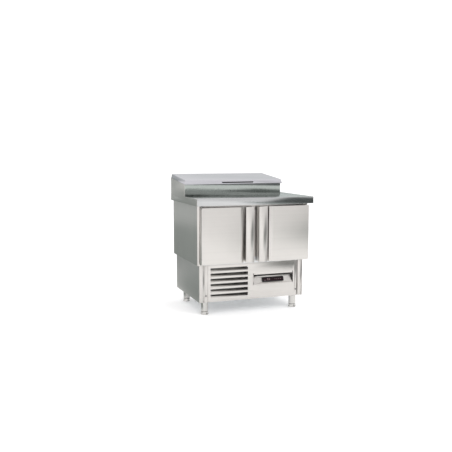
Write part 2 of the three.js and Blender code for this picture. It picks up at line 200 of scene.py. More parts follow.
def rectangle(name, corner, along, up, material):
    """A flat card: corner + a * along + b * up, with a and b from 0 to 1, which are also its UVs."""
    corner, along, up = (np.array(v, float) for v in (corner, along, up))
    weights = np.array([(0, 0), (1, 0), (1, 1), (0, 1)], float)
    mesh = bpy.data.meshes.new(name)
    mesh.from_pydata((corner + weights[:, :1] * along + weights[:, 1:] * up).tolist(), [], [(0, 1, 2, 3)])
    mesh.uv_layers.new(name="UVMap").data.foreach_set("uv", weights.ravel())
    mesh.materials.append(material)
    card = bpy.data.objects.new(name, mesh)
    scene.collection.objects.link(card)
    return card


def glow(name, colour, fade_along, fade_up):
    """An even glow that fades in and out: each fade is (start, full, full, end) in 0 to 1."""
    card = Recipe(name)
    where = card.node("ShaderNodeTexCoord", {}, output="UV")
    split = card.node("ShaderNodeSeparateXYZ", {}, where)
    seen = None
    for output, (start, full, still, end) in ((0, fade_along), (1, fade_up)):
        position = Value(card, split.socket.node.outputs[output])
        part = position.band(start, full) * position.band(still, end, 1.0, 0.0)
        seen = part if seen is None else seen * part
    shine = card.node("ShaderNodeEmission", {}, (*colour, 1), 1.0)
    clear = card.node("ShaderNodeBsdfTransparent", {})
    mixed = card.node("ShaderNodeMixShader", {}, seen, clear, shine)
    card.tree.links.new(mixed.socket, card.tree.nodes["Material Output"].inputs["Surface"])
    return card.material


white_floor = Recipe("floor_white", Roughness=1.0, Base_Color=(0.94, 0.94, 0.94, 1), Emission_Strength=0.17)
white_floor.shader.inputs["Emission Color"].default_value = (1, 1, 1, 1)
FLOOR = 60
rectangle("floor", (-FLOOR / 2, -FLOOR / 2, 0), (FLOOR, 0, 0), (0, FLOOR, 0), white_floor.material)

GREEN_GREY = np.array((0.90, 1.0, 0.97))
ALL = (-0.1, 0.0, 1.0, 1.1)
# Each card: corner, along, up, brightness, fade along, fade up.
CARDS = {
    "card_right": (
        (2.4, -5.2, -0.1), (7.0, 1.2, 0), (0, 0, 3.6),
        0.14, (0, 0.09, 1.0, 1.1), (-0.1, 0, 0.7, 1.0),
    ),
    "card_right_floor": (
        (0.85, -5.2, 0.004), (7.0, 0, 0), (0, 3.9, 0),
        0.45, (0, 0.16, 1.0, 1.1), (-0.1, 0, 0.6, 1.0),
    ),
    "card_left": (
        (-8.0, 6.0, -0.1), (8.0, 0.0, 0), (0, 0, 6.0),
        0.36, (0, 0.1, 0.7, 1.0), (-0.1, 0, 0.25, 0.75),
    ),
    "card_left_floor": (
        (-8.0, -0.32, 0.004), (7.55, 0, 0), (0, 6.3, 0),
        0.36, (0, 0.1, 0.99, 1.0), ALL,
    ),
    "card_back": (
        (-2.0, 6.2, 0.0), (10.0, 0, 0), (0, 0, 6.0),
        0.58, (0, 0.2, 1.0, 1.1), (-0.1, 0, 0.15, 0.8),
    ),
}
for name, (corner, along, up, level, fade_along, fade_up) in CARDS.items():
    card = rectangle(name, corner, along, up, glow(name, level * GREEN_GREY, fade_along, fade_up))
    card.visible_camera = False
    card.visible_diffuse = False
    card.visible_shadow = False
    card.visible_transmission = False

# %% Light
world = bpy.data.worlds.new("white_room")
world.use_nodes = True
world.node_tree.nodes["Background"].inputs["Color"].default_value = (1.0, 0.995, 1.0, 1)
world.node_tree.nodes["Background"].inputs["Strength"].default_value = 1.12
scene.world = world


def softbox(name, location, target, size, watts):
    """A square area light that faces a point and isn't itself reflected."""
    light = bpy.data.lights.new(name, "AREA")
    light.size = size
    light.energy = watts
    lamp = bpy.data.objects.new(name, light)
    lamp.location = location
    x, y, z = np.array(target) - np.array(location)
    lamp.rotation_euler = (math.atan2(math.hypot(x, y), -z), 0, math.atan2(-x, y))
    lamp.visible_glossy = False
    scene.collection.objects.link(lamp)


softbox("softbox_front", (1.5, -3.5, 3.0), (0, 0, 0.5), 2.5, 60)

# %% [markdown]
# ## Satin steel
#
# Sheet for kitchens is ground with a fine belt: thousands of hair scratches run one way. They could be
# an image, but a noise drawn out hundreds of times along the grain gives the same and never
# repeats. It drives the bump, which smears reflections across the grain as the real grooves
# do, and a faint change of tone. Slow clouds add what hands and cloths leave.

# %% Satin steel
GRAIN_ALONG = 5
GRAIN_ACROSS = 1400
STREAK = 0.06


def grain_scale(axis, finer=1.0):
    """Coordinate scales that draw the noise out along one axis of the counter."""
    return tuple(finer * (GRAIN_ALONG if name == axis else GRAIN_ACROSS) for name in "xyz")


def brushed_steel(name, axis, tone=(0.60, 0.58, 0.555), rough=0.32, scratch=60e-6):
    steel = Recipe(name, Metallic=1.0)
    hair = steel.noise(1.0, steel.place(grain_scale(axis)), detail=3.0, rough=0.6)
    streak = steel.noise(1.0, steel.place(grain_scale(axis, STREAK)))
    cloud = steel.noise(5.0, steel.place(), detail=3.0, rough=0.55)
    smear = steel.noise(23.0, steel.place())
    roughness = rough + 0.10 * (hair - 0.5) + 0.05 * (cloud - 0.5) + 0.04 * (smear - 0.5)
    shade = 0.3 * hair + 0.3 * streak + 0.4 * cloud
    colour = steel.mix(shade.band(0.35, 0.65), *shades(tone, 0.95, 1.04))
    return steel.finish(Base_Color=colour, Roughness=roughness, Normal=steel.bump(hair * scratch, 0.5))


# %% [markdown]
# ## The other finishes
#
# Each inside piece has its own: a duller liner, zinc sheet with its faint flakes, aluminium fins,
# black paint with the skin of an orange, moulded plastic, glass and soft rubber.

# %% Painted, moulded and plated finishes


def dull_steel(name, tone, rough):
    steel = Recipe(name, Metallic=1.0)
    cloud = steel.noise(9.0, steel.place(), detail=4.0, rough=0.6)
    fine = steel.noise(700.0, steel.place())
    colour = steel.mix(cloud.band(0.3, 0.7), *shades(tone, 0.92, 1.05))
    roughness = rough + 0.10 * (cloud - 0.5) + 0.06 * (fine - 0.5)
    return steel.finish(Base_Color=colour, Roughness=roughness, Normal=steel.bump(fine * 40e-6, 0.4))


def zinc_sheet(name):
    zinc = Recipe(name, Metallic=0.9)
    flakes = zinc.node("ShaderNodeTexVoronoi", {}, zinc.place(), None, 90.0, output="Color")
    flake = zinc.node("ShaderNodeSeparateColor", {}, flakes)
    shade = 0.5 * flake + 0.5 * zinc.noise(6.0, zinc.place(), detail=3.0)
    colour = zinc.mix(shade, *shades((0.56, 0.58, 0.59), 0.84, 1.16))
    return zinc.finish(Base_Color=colour, Roughness=0.40 + 0.15 * flake, Normal=zinc.bump(flake * 30e-6, 0.3))


def moulded(name, colour, rough, texture=60e-6, coat=0.0, shine=0.5):
    skin = Recipe(name, Coat_Weight=coat, Coat_Roughness=0.15, Specular_IOR_Level=shine)
    pebble = skin.noise(1800.0, skin.place(), detail=1.0)
    cloud = skin.noise(12.0, skin.place(), detail=3.0)
    return skin.finish(Base_Color=skin.mix(cloud, *shades(colour, 0.85, 1.12)),
                       Roughness=rough + 0.12 * (cloud - 0.5), Normal=skin.bump(pebble * texture, 0.5))


def fin_stock(name):
    fins = Recipe(name, Metallic=1.0)
    cloud = fins.noise(30.0, fins.place((1, 1, 0.3)), detail=4.0, rough=0.7)
    colour = fins.mix(cloud.band(0.3, 0.7), *shades((0.66, 0.67, 0.68), 0.8, 1.2))
    return fins.finish(Base_Color=colour, Roughness=0.42 + 0.2 * (cloud - 0.5))


def lit_mark(name, colour, strength):
    """A printed or lit mark behind the window: its own faint glow and a little unevenness."""
    mark = Recipe(name, Roughness=0.3, Emission_Strength=strength)
    cloud = mark.noise(400.0, mark.place())
    tint = mark.mix(cloud, *shades(colour, 0.8, 1.2))
    return mark.finish(Base_Color=tint, Emission_Color=tint)


# %% One finish for each slot, and the grain's direction on each steel piece
SATIN = {axis: brushed_steel(f"satin_steel_{axis}", axis) for axis in "xyz"}
# Painted shade: the worktop, the rail and the lid are the same satin steel as the rest, but each gets a
# darker tone of its own, the rail's also greener and the lid's cooler, to copy how light falls on them.
PAINTED_SHADE_STEEL = {
    "worktop": brushed_steel("worktop_steel", "x", tone=(0.455, 0.46, 0.46), rough=0.17, scratch=40e-6),
    "rail_front": brushed_steel("rail_steel", "x", tone=(0.415, 0.45, 0.425), rough=0.28),
    "lid": brushed_steel("lid_steel", "x", tone=(0.545, 0.54, 0.57), rough=0.32),
}
SLOT_FINISH = {
    "liner_steel": dull_steel("liner_steel", (0.62, 0.63, 0.63), 0.36),
    "plain_steel": dull_steel("plain_steel", (0.60, 0.59, 0.57), 0.24),
    "zinc_steel": zinc_sheet("zinc_steel"),
    "coil_fins": fin_stock("coil_fins"),
    "black_plastic": moulded("black_plastic", (0.020, 0.020, 0.022), 0.42),
    "display_window": moulded("display_window", (0.012, 0.004, 0.006), 0.22, texture=0.0, shine=0.15),
    "black_paint": moulded("black_paint", (0.018, 0.018, 0.020), 0.30, texture=120e-6, coat=0.4),
    "white_plastic": moulded("white_plastic", (0.72, 0.73, 0.72), 0.45),
    "gasket_rubber": moulded("gasket_rubber", (0.30, 0.31, 0.31), 0.62),
}
GRAIN_ALONG_Y = ("end_cheek_left", "rail_right", "cabinet_side_left", "cabinet_side_right", "base_side_left",
                 "base_side_right")


def finish_for(node):
    slot = SLOT_OF[node]
    if slot != "satin_steel":
        return SLOT_FINISH[slot]
    if node in PAINTED_SHADE_STEEL:
        return PAINTED_SHADE_STEEL[node]
    return SATIN["y" if node in GRAIN_ALONG_Y else "x"]


# %% [markdown]
# ## Folds instead of knife edges
#
# The engineering model's edges are perfectly sharp, and no sheet's are. Welding each node's loose
# triangles and bevelling only the sharp corners gives every piece the narrow bright line of a fold.

# %% Folded edges on the carried-over nodes
FOLD = {
    "satin_steel": 1.3,
    "liner_steel": 1.0,
    "white_plastic": 3.0,
    "black_plastic": 0.8,
    "black_paint": 1.0,
}
THIN_FOLD = 0.4
FOLD_ANGLE = 18     # under the grip slopes' angle, over the steps of round corners
THIN = ("service_panel", "base_side_left", "base_side_right", "pan_frame", "end_cheek_left", "base_back",
        "base_floor", "evaporator_cover")


def soften(node, width):
    thing = NODES[node]
    weld = thing.modifiers.new("weld", "WELD")
    weld.merge_threshold = 0.01 * MM
    bevel = thing.modifiers.new("fold", "BEVEL")
    bevel.limit_method = "ANGLE"
    bevel.angle_limit = math.radians(FOLD_ANGLE)
    bevel.width = width
    bevel.segments = 2
    bevel.harden_normals = True
    thing.data.polygons.foreach_set("use_smooth", np.ones(len(thing.data.polygons), bool))


for node, thing in NODES.items():
    thing.data.materials.clear()
    thing.data.materials.append(finish_for(node))
    soften(node, (THIN_FOLD if node in THIN else FOLD.get(SLOT_OF[node], 0.5)) * MM)

# %% [markdown]
# ## Surfaces from arrays
#
# Every new piece is a stack of closed rings of points. A turned piece stacks circles, a pressed pan
# stacks rounded rectangles, and a wire carries one circle along a path. So three small helpers
# are enough: one joins rings with quads, one makes rounded outlines, and one makes the piece.

# %% Rings, outlines and pieces
X, Y, Z = 0, 1, 2


def loft(rings, closed=False):
    """Joins rings (m, n, 3) with quads. Both ends get a flat cap, unless the stack closes on itself."""
    rings = np.asarray(rings, float)
    m, n = rings.shape[:2]
    row, column = np.meshgrid(np.arange(m if closed else m - 1), np.arange(n), indexing="ij")
    after, beside = (row + 1) % m, (column + 1) % n
    quads = np.stack([row * n + column, row * n + beside, after * n + beside, after * n + column], -1)
    faces = quads.reshape(-1, 4).tolist()
    if not closed:
        faces += [list(range(n)), list(range((m - 1) * n, m * n))]
    return rings.reshape(-1, 3), faces


def upright(outline, axis, where):
    """Puts a flat outline (n, 2) into space, at a place along one axis."""
    return np.insert(np.asarray(outline, float), axis, where, axis=1)


def rounded_rectangle(half_a, half_b, radius, steps=6):
    """Four quarter circles: each corner's centre plus radius times (cos, sin) of its quarter turn."""
    signs = np.array([(1, 1), (-1, 1), (-1, -1), (1, -1)])
    angle = (np.arange(4)[:, None] + np.linspace(0, 1, steps + 1)) * np.pi / 2
    centre = signs * (np.array((half_a, half_b)) - radius)
    arcs = centre[:, None] + radius * np.stack([np.cos(angle), np.sin(angle)], -1)
    return arcs.reshape(-1, 2)


def rounded(points, radius, steps=4):
    """Each corner becomes the curve (1-t)^2 a + 2t(1-t) p + t^2 c, from a radius before p to one after."""
    p = np.asarray(points, float)
    before, after = np.roll(p, 1, 0) - p, np.roll(p, -1, 0) - p
    a = p + radius * before / np.linalg.norm(before, axis=1, keepdims=True)
    c = p + radius * after / np.linalg.norm(after, axis=1, keepdims=True)
    t = np.linspace(0, 1, steps + 1)[:, None]
    a, p, c = a[:, None], p[:, None], c[:, None]
    return ((1 - t) ** 2 * a + 2 * t * (1 - t) * p + t ** 2 * c).reshape(-1, 2)


def circle(radius, sides):
    angle = np.arange(sides) * 2 * np.pi / sides
    return radius * np.stack([np.cos(angle), np.sin(angle)], -1)


def turned(profile, centre, axis=Z, sides=48, closed=False):
    """A turned piece: for each (radius, height) of the profile, a circle at that height on the axis."""
    rings = [upright(circle(radius, sides), axis, height) for radius, height in profile]
    return loft(np.array(rings) + centre, closed)


def wire(path, radius, sides=10, closed=False):
    """A circle carried along a path, square to the path's direction at every point."""
    path = np.asarray(path, float)
    ahead = np.roll(path, -1, 0) - np.roll(path, 1, 0) if closed else np.gradient(path, axis=0)
    ahead /= np.linalg.norm(ahead, axis=1, keepdims=True)
    reference = np.eye(3)[np.abs(ahead).mean(0).argmin()]
    side = np.cross(ahead, reference)
    side /= np.linalg.norm(side, axis=1, keepdims=True)
    over = np.cross(ahead, side)
    ring = circle(radius, sides)
    return loft(path[:, None] + ring[:, :1] * side[:, None] + ring[:, 1:] * over[:, None], closed)


def rods(starts, ends, radius, sides=8):
    """One closed straight rod for each pair of rows of starts and ends."""
    return together(*(wire(pair, radius, sides) for pair in zip(*np.broadcast_arrays(starts, ends))
                      for pair in [np.array(pair)]))


def slab(outline, axis, low, high):
    """A flat outline made thick along one axis."""
    return loft([upright(outline, axis, low), upright(outline, axis, high)])


def together(*shells):
    """Several closed shells as one list of points and one of faces."""
    starts = np.cumsum([0] + [len(points) for points, _ in shells[:-1]]).tolist()
    faces = []
    for (_, part), start in zip(shells, starts):
        faces += [[index + start for index in face] for face in part]
    return np.concatenate([points for points, _ in shells]), faces


def piece(name, body, slot, shell, finish=None, stands_for=(), fold=0.0, sharp=40):
    """Makes the mesh, joins doubled points, turns faces outwards and puts the piece on its body."""
    points, faces = shell
    mesh = bpy.data.meshes.new(name)
    mesh.from_pydata(points.tolist(), [], faces)
    work = bmesh.new()
    work.from_mesh(mesh)
    bmesh.ops.remove_doubles(work, verts=work.verts, dist=0.001 * MM)
    bmesh.ops.recalc_face_normals(work, faces=work.faces)
    work.to_mesh(mesh)
    work.free()
    mesh.polygons.foreach_set("use_smooth", np.ones(len(mesh.polygons), bool))
    mesh.set_sharp_from_angle(angle=math.radians(sharp))
    mesh.materials.append(finish or SLOT_FINISH[slot])
    made = bpy.data.objects.new(name, mesh)
    scene.collection.objects.link(made)
    if fold:
        bevel = made.modifiers.new("fold", "BEVEL")
        bevel.limit_method = "ANGLE"
        bevel.angle_limit = math.radians(sharp)
        bevel.width = fold
        bevel.segments = 2
        bevel.harden_normals = True
    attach(made, body)
    if stands_for:
        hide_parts(*stands_for)
    print(name, len(mesh.polygons), "faces")
    return made


# %% [markdown]
# ## Legs and levelling feet
#
# A tube with a welded flange under the bay, and a foot that screws out of it. Both are turned, so a
# profile of radius against height says everything. The engineering model's 24 sides would
# show on the outline, so these have 64.

# %% Legs
LEG_CORNERS = ("front_left", "front_right", "rear_left", "rear_right")
for corner in LEG_CORNERS:
    low, high = corners(f"leg_{corner}")
    centre = (low + high) / 2 * (1, 1, 0)
    flange = (high[X] - low[X]) / 2
    tube, bore, top = 27 * MM, 21 * MM, high[Z]
    bottom = low[Z]
    profile = rounded([(bore, bottom), (tube, bottom), (tube, top - 9 * MM), (tube + 3 * MM, top - 6 * MM),
                       (flange, top - 5 * MM), (flange, top), (bore, top)], 1.2 * MM)
    piece(f"leg_tube_{corner}", "cabinet", "plain_steel", turned(profile, centre, sides=64, closed=True),
          stands_for=[f"leg_{corner}"])
    low, high = corners(f"foot_{corner}")
    sole = (high[X] - low[X]) / 2
    heights = np.linspace(0, 1, 12)
    flare = tube - 0.5 * MM + (sole - tube + 0.5 * MM) * (1 - heights) ** 1.6
    skirt = np.stack([flare, 3 * MM + 19 * MM * heights], -1)
    shoulder = bottom - 0.5 * MM
    profile = [(0, 0), (sole - 2 * MM, 0), (sole - 0.6 * MM, 0.5 * MM), *skirt.tolist(), (22.5 * MM, 24 * MM),
               (22 * MM, shoulder - 0.5 * MM), (21.5 * MM, shoulder), (11 * MM, shoulder),
               (11 * MM, high[Z]), (0, high[Z])]
    piece(f"levelling_foot_{corner}", f"foot_{corner}", "plain_steel", turned(profile, centre, sides=64),
          stands_for=[f"foot_{corner}"])

# %% [markdown]
# ## The controller
#
# A small thermostat behind a dark window: a lit number on the left and touch marks on the right. The
# window sits in the leaning flap, so everything on it is laid out flat first, as (along, up,
# out), and then put on the flap by the three directions of that plane.

# %% The controller's plane
low, high = corners("controller_window")
window_width = high[X] - low[X]
FLAP_LEAN = math.atan2(25.0, 58.5)
OUT = np.array((0, -math.cos(FLAP_LEAN), math.sin(FLAP_LEAN)))
UP = np.array((0, math.sin(FLAP_LEAN), math.cos(FLAP_LEAN)))
WINDOW_THICK = 1.7 * MM
window_height = ((high[Z] - low[Z]) - WINDOW_THICK * OUT[Z]) / UP[Z]
window_centre = (low + high) / 2 + OUT * WINDOW_THICK / 2


def on_window(outline, out_low, out_high):
    """A flat outline (along, up) put on the window's face, from one height out of it to another."""
    outline = np.asarray(outline, float)
    base = window_centre + outline[:, :1] * np.array((1, 0, 0)) + outline[:, 1:] * UP
    return loft([base + out_low * OUT, base + out_high * OUT])


CORNER = 5 * MM
# The crown: how far each ring is drawn in, and how far it stands out of the face.
CROWN = [(0.0, -WINDOW_THICK), (0.0, -0.5 * MM), (0.15 * MM, -0.2 * MM), (0.5 * MM, 0.0)]
rings = []
for inset, out in CROWN:
    outline = rounded_rectangle(window_width / 2 - inset, window_height / 2 - inset, CORNER - inset)
    flat = outline[:, :1] * np.array((1, 0, 0)) + outline[:, 1:] * UP
    rings.append(window_centre + flat + out * OUT)
piece("controller_glass", "cabinet", "display_window", loft(rings), stands_for=["controller_window"])

# %% Digits and key marks


def segment(x, y, along, length=5.2 * MM, thick=1.1 * MM):
    """One bar of a digit: a long hexagon, lying along or standing up."""
    half, edge = length / 2, thick / 2
    bar = np.array([(-half, 0), (edge - half, edge), (half - edge, edge), (half, 0), (half - edge, -edge),
                    (edge - half, -edge)])
    return (bar if along else bar[:, ::-1]) + (x, y)


# Each bar of a digit as (across, up) in half digit heights, and whether it lies along.
BARS = {"a": (0, 2, True), "b": (1, 1, False), "c": (1, -1, False), "d": (0, -2, True), "e": (-1, -1, False),
        "f": (-1, 1, False), "g": (0, 0, True)}
DIGITS = {"3": "abgcd", "5": "afgcd"}
STEP = 2.9 * MM
marks = []
for place, digit in ((-0.27, "3"), (-0.17, "5")):
    for bar in DIGITS[digit]:
        across, up, along = BARS[bar]
        bar_outline = segment(place * window_width + across * STEP, up * STEP, along)
        marks.append(on_window(bar_outline, -0.1 * MM, 0.15 * MM))
marks.append(on_window(circle(0.9 * MM, 12) + (-0.215 * window_width, -2 * STEP), -0.1 * MM, 0.15 * MM))
DISPLAY_GLOW = lit_mark("display_digits", (0.55, 0.42, 0.42), 0.12)
piece("controller_digits", "cabinet", "display_window", together(*marks), finish=DISPLAY_GLOW)
keys = []
for x in (0.10, 0.19, 0.28, 0.37):
    key_outline = rounded_rectangle(2.0 * MM, 2.4 * MM, 1.0 * MM) + (x * window_width, -1.2 * MM)
    keys.append(on_window(key_outline, -0.1 * MM, 0.12 * MM))
line_outline = rounded_rectangle(6.0 * MM, 1.3 * MM, 1.2 * MM) + (-0.39 * window_width, -7.0 * MM)
keys.append(on_window(line_outline, -0.1 * MM, 0.12 * MM))
piece("controller_key_marks", "cabinet", "display_window", together(*keys),
      finish=lit_mark("key_marks", (0.20, 0.15, 0.15), 0.03))

# %% [markdown]
# ## Panel screws
#
# Two pan-head screws hold the service panel. The head is turned, and a cross recess is a second
# surface: its radius swells four times a turn, as base + swing * cos(4 * angle).

# %% Panel screws
SCREW_STEEL = dull_steel("screw_steel", (0.16, 0.16, 0.17), 0.38)
for side in ("left", "right"):
    low, high = corners(f"panel_screw_{side}")
    centre = (low + high) / 2 * (1, 0, 1)
    head = (high[X] - low[X]) / 2
    seat = high[Y] - 14 * MM
    angle = np.arange(48) * 2 * np.pi / 48
    levels = [(2.6, 14.0, 0), (2.6, 0.0, 0), (5.5, 0.0, 0), (5.5, -0.6, 0), (5.1, -1.8, 0), (4.1, -2.8, 0),
              (3.2, -3.2, 0), (1.9, -3.3, 0.8), (1.6, -1.4, 0.7), (0.2, -1.2, 0)]
    rings = []
    for radius, back, swing in levels:
        reach = (radius + swing * np.cos(4 * angle)) * MM
        flat = np.stack([reach * np.cos(angle), reach * np.sin(angle)], -1)
        rings.append(upright(flat, Y, seat + back * MM) + centre)
    piece(f"pan_head_screw_{side}", "cabinet", "zinc_steel", loft(rings), finish=SCREW_STEEL,
          stands_for=[f"panel_screw_{side}"])

# %% [markdown]
# ## The lid's pull
#
# The slot in the lid's front lip opens into the hollow of the folded hem, which lies in shade. A thin
# near-black trough inside the slot is that shade painted in, without touching the lid's own sheet.

# %% Painted shadow in the pull slot
low, high = corners("lid")
SLOT_X, SLOT_Z, SLOT_HALF, SLOT_DEEP = -34 * MM, 949 * MM, 4 * MM, 18 * MM


def slot_outline(inset):
    """The slot's four corners, longer along the top, drawn in by inset."""
    top, bottom, half = 128 * MM - inset, 122 * MM - inset, SLOT_HALF - inset
    return np.array([(-top, half), (-bottom, -half), (bottom, -half), (top, half)]) + (SLOT_X, SLOT_Z)


mouth = low[Y] + 4 * MM
back = low[Y] + SLOT_DEEP - 0.3 * MM
# From the back of the slot out to its mouth, then along the inside to the back again.
STATIONS = ((0.3, back), (0.3, mouth), (0.9, mouth), (0.9, back - 0.6 * MM))
trough = [upright(slot_outline(inset * MM), Y, y) for inset, y in STATIONS]
# A near-black painted shadow that stands for the shaded hollow of the hem.
piece("lid_pull_liner", "lid", "satin_steel", loft(trough),
      finish=moulded("slot_shadow", (0.02, 0.02, 0.02), 0.8, texture=0.0))

# %% [markdown]
# ## Food pans
#
# A pan is deep-drawn from one sheet: a flat rim with a rolled edge, and walls that run into the bottom
# in a wide curve. It is a stack of rounded rectangles, down the outside and up the inside.

# %% Food pans
PAN_WALL = 0.9 * MM
PAN_BODY = (79 * MM, 149.5 * MM)
PAN_BEND = 14 * MM
PAN_TAPER = 4 * MM
QUARTER = np.linspace(0, np.pi / 2, 6)
# The rolled edge: how far in from the rim, and how far below its top.
ROLLED_EDGE = [(1.0, 1.6), (0.0, 2.2), (0.0, 0.8), (1.0, 0.2), (3.0, 0.5)]


def pan_skin(skin, top, bottom):
    """One skin of the wall from the bottom up, as (half width, half length, radius, height).

    The bend is a quarter circle: in by r * (1 - sin a) and up by r * (1 - cos a).
    """
    half = np.array(PAN_BODY) - skin
    turn_in = PAN_BEND - skin
    levels = []
    for a in QUARTER:
        inset = PAN_TAPER + turn_in * (1 - math.sin(a))
        levels.append((*(half - inset), 16 * MM, bottom + skin + turn_in * (1 - math.cos(a))))
    levels.append((*half, 18 * MM - skin, top - 6 * MM))
    levels.append((*(half + 1.5 * MM), 19 * MM - skin, top - 1.6 * MM + skin))
    return levels


for number in range(1, 5):
    low, high = corners(f"pan_{number}")
    centre = (low + high) / 2 * (1, 1, 0)
    rim = (high - low)[:2] / 2
    top, bottom = high[Z], low[Z]
    edge = [(*(rim - inset * MM), 8 * MM, top - below * MM) for inset, below in ROLLED_EDGE]
    levels = [*pan_skin(0.0, top, bottom), *edge, *reversed(pan_skin(PAN_WALL, top, bottom))]
    rings = [upright(rounded_rectangle(a, b, radius), Z, z) + centre for a, b, radius, z in levels]
    piece(f"food_pan_{number}", "cabinet", "liner_steel", loft(rings), stands_for=[f"pan_{number}"])

# %% [markdown]
# ## Wire shelves
#
# A shelf is a bent rod frame with thin wires welded across. Each wire is one circle carried along a
# straight path, and the frame is the same circle carried round a rounded rectangle.

# %% Wire shelves
for side in ("left", "right"):
    low, high = corners(f"shelf_{side}")
    centre, half = (low + high) / 2, (high - low) / 2
    rod = half[Z]
    frame_outline = rounded_rectangle(half[X] - rod, half[Y] - rod, 12 * MM)
    frame_path = upright(frame_outline, Z, centre[Z]) + centre * (1, 1, 0)
    wires_x = np.linspace(low[X] + 14 * MM, high[X] - 14 * MM, 15)
    ends_y = np.array((low[Y] + rod, high[Y] - rod))
    thin = 1.3 * MM
    starts = np.stack([wires_x, np.full(15, ends_y[0]), np.full(15, high[Z] - thin)], -1)
    ends = starts * (1, 0, 1) + (0, ends_y[1], 0)
    bars_y = np.linspace(low[Y] + 90 * MM, high[Y] - 90 * MM, 3)
    bar_starts = np.stack([np.full(3, low[X] + rod), bars_y, np.full(3, low[Z] + 1.7 * MM)], -1)
    bar_ends = bar_starts * (0, 1, 1) + (high[X] - rod, 0, 0)
    bent_frame = wire(frame_path, rod, closed=True)
    shell = together(bent_frame, rods(starts, ends, thin), rods(bar_starts, bar_ends, 1.7 * MM))
    piece(f"wire_shelf_{side}", "cabinet", "plain_steel", shell, stands_for=[f"shelf_{side}"])

# %% [markdown]
# ## Door gaskets and inner liners
#
# The gasket is a hollow rubber profile with a fold that lets the magnet reach the steel. Its section
# is carried round the door as a stack of rounded rectangles, each drawn in by the section's width.
# Inside it the door's liner is pressed into a shallow raised field.

# %% Gaskets and liners
SECTION = [(0, 0), (0, 2.6), (1.6, 3.6), (0.8, 4.6), (1.4, 7.0),
           (12.6, 7.0), (13.2, 4.6), (12.4, 3.6), (14, 2.6), (14, 0)]
GASKET = rounded(SECTION, 0.35, steps=3) * MM
# The liner's raised field: how far in from the gasket's outside, and how far out of the door.
FIELD = np.array([(24, -0.9), (24, -0.1), (26, 0.6), (34, 4.6), (38, 5.6),
                  (90, 5.8), (96, 4.8), (104, 4.6)]) * MM
for side in ("left", "right"):
    low, high = corners(f"door_{side}_gasket")
    centre, half = (low + high) / 2 * (1, 0, 1), (high - low) / 2
    rings = []
    for inset, depth in GASKET:
        outline = rounded_rectangle(half[X] - inset, half[Z] - inset, 15 * MM - inset * 0.8)
        rings.append(upright(outline, Y, low[Y] + depth) + centre)
    piece(f"door_gasket_{side}", f"door_{side}", "gasket_rubber", loft(rings, closed=True),
          stands_for=[f"door_{side}_gasket"])
    rings = []
    for inset, depth in FIELD:
        radius = max(22 * MM - inset * 0.15, 4 * MM)
        outline = rounded_rectangle(half[X] - inset, half[Z] - inset, radius)
        rings.append(upright(outline, Y, low[Y] + depth) + centre)
    piece(f"door_liner_{side}", f"door_{side}", "liner_steel", loft(rings))

# %% [markdown]
# ## Fans
#
# A blade is a thin ellipse that grows and flattens as it runs out from the hub: at each radius it is
# chord * cos(t) along and thick * sin(t) across, turned by a pitch that falls towards the tip.

# %% Fan wheels


def fan_wheel(centre, hub, reach, deep, blades=5, twist=-1):
    radius = np.linspace(hub * 0.9, reach, 10)
    along = (radius - radius[0]) / (radius[-1] - radius[0])
    chord = reach * (0.20 + 0.20 * np.sin(along * np.pi * 0.62)) * (1 - 0.35 * along ** 6)
    limit = np.arcsin(np.minimum(deep * 0.42 / chord, 0.9))
    pitch = twist * np.minimum(math.radians(34) - math.radians(14) * along, limit)
    t = np.arange(16) * 2 * np.pi / 16
    a = chord[:, None] * np.cos(t)
    b = 0.9 * MM * np.sin(t) * np.ones_like(a)
    across = a * np.cos(pitch)[:, None] - b * np.sin(pitch)[:, None]
    out = a * np.sin(pitch)[:, None] + b * np.cos(pitch)[:, None]
    flat = np.stack([across, out, np.broadcast_to(radius[:, None], a.shape)], -1)
    shells = []
    for angle in np.arange(blades) * 2 * np.pi / blades:
        c, s = math.cos(angle), math.sin(angle)
        shells.append(loft(flat @ np.array([(c, 0, -s), (0, 1, 0), (s, 0, c)]) + centre))
    half = deep / 2
    hub_profile = [(0, -half), (hub * 0.75, -half), (hub * 0.95, -half + 1.5 * MM), (hub, -half + 4 * MM),
                   (hub, half), (hub * 0.8, half), (hub * 0.8, half - 4 * MM), (0, half - 4 * MM)]
    return together(turned(hub_profile, centre, axis=Y), *shells)


for place, reach in (("condenser", 100 * MM), ("evaporator", 52 * MM)):
    low, high = corners(f"{place}_fan")
    joint = next(j for j in frame["record"]["behaviour"]["joints"] if j["child"] == f"{place}_fan")
    centre = np.array(joint["pos_m"])
    wheel = fan_wheel(centre, 22 * MM, reach, high[Y] - low[Y])
    piece(f"{place}_fan_wheel", f"{place}_fan", "black_plastic", wheel, stands_for=[f"{place}_fan"])

# %% The guard over the evaporator fan
low, high = corners("evaporator_cover")
centre = np.array(((low[X] + high[X]) / 2, low[Y] - 2.2 * MM, (low[Z] + high[Z]) / 2))
rings = []
for radius in (12, 22, 32, 42, 52, 58):
    rings.append(wire(upright(circle(radius * MM, 48), Y, 0) + centre, 1.0 * MM, 8, closed=True))
spoke = circle(1, 6)
starts = upright(spoke * 12 * MM, Y, 1.2 * MM) + centre
ends = upright(spoke * 60 * MM, Y, 1.2 * MM) + centre
piece("evaporator_fan_guard", "cabinet", "plain_steel", together(*rings, rods(starts, ends, 1.2 * MM)))

# %% [markdown]
# ## Coils
#
# A coil is one long tube that runs to and fro through a pack of thin fins. The tube's path is straight
# runs joined by half circles, and the fins are a row of thin plates.

# %% Coils


